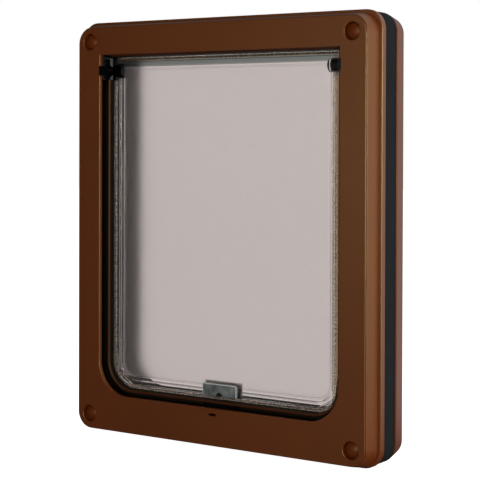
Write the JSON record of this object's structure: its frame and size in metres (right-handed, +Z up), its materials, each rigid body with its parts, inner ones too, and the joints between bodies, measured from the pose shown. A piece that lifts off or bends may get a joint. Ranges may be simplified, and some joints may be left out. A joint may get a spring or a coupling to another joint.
{
  "type": "dog door",
  "caption": "Dog door with a clamped brown frame, lined doorway and a smoke-clear flap on top hinges that swings both ways.",
  "frame": {"origin": "middle of the base, where the frame stands", "axes": "+X across the doorway to the right seen from inside, +Y through the door to the outside, +Z up"},
  "size_m": [0.3132, 0.058, 0.3705],
  "materials": {
    "brown_plastic": "moulded ABS, fine satin texture",
    "black_rubber": "closed-cell foam rubber",
    "black_plastic": "moulded acetal",
    "smoke_clear": "smoke-tinted clear polycarbonate with a fine haze",
    "smoke_holder": "grey glossy polycarbonate",
    "pile": "grey polypropylene brush pile",
    "magnet": "nickel-plated magnet",
    "steel": "zinc-plated steel"
  },
  "bodies": {
    "frame": {"front_frame": "brown_plastic", "front_tunnel": "brown_plastic", "rear_frame": "brown_plastic", "weather_seal": "black_rubber", "sill_magnet": "magnet", "sill_magnet_keeper": "black_plastic", "hinge_bearing_left": "black_plastic", "hinge_bearing_right": "black_plastic", "fixing_screw_1": "steel", "screw_cap_1": "brown_plastic", "fixing_screw_2": "steel", "screw_cap_2": "brown_plastic", "fixing_screw_3": "steel", "screw_cap_3": "brown_plastic", "fixing_screw_4": "steel", "screw_cap_4": "brown_plastic"},
    "flap": {"flap_panel": "smoke_clear", "flap_side_pile": "pile", "flap_head_pile": "pile", "flap_magnet": "magnet", "magnet_holder_front": "smoke_holder", "magnet_holder_rear": "smoke_holder", "hinge_pin_left": "black_plastic", "hinge_pin_right": "black_plastic"}
  },
  "joints": [
    {"name": "flap_swing", "type": "hinge", "parent": "frame", "child": "flap", "pos_m": [0, -0.0142, 0.3262], "axis": [1, 0, 0], "range_deg": [-90, 90]}
  ]
}
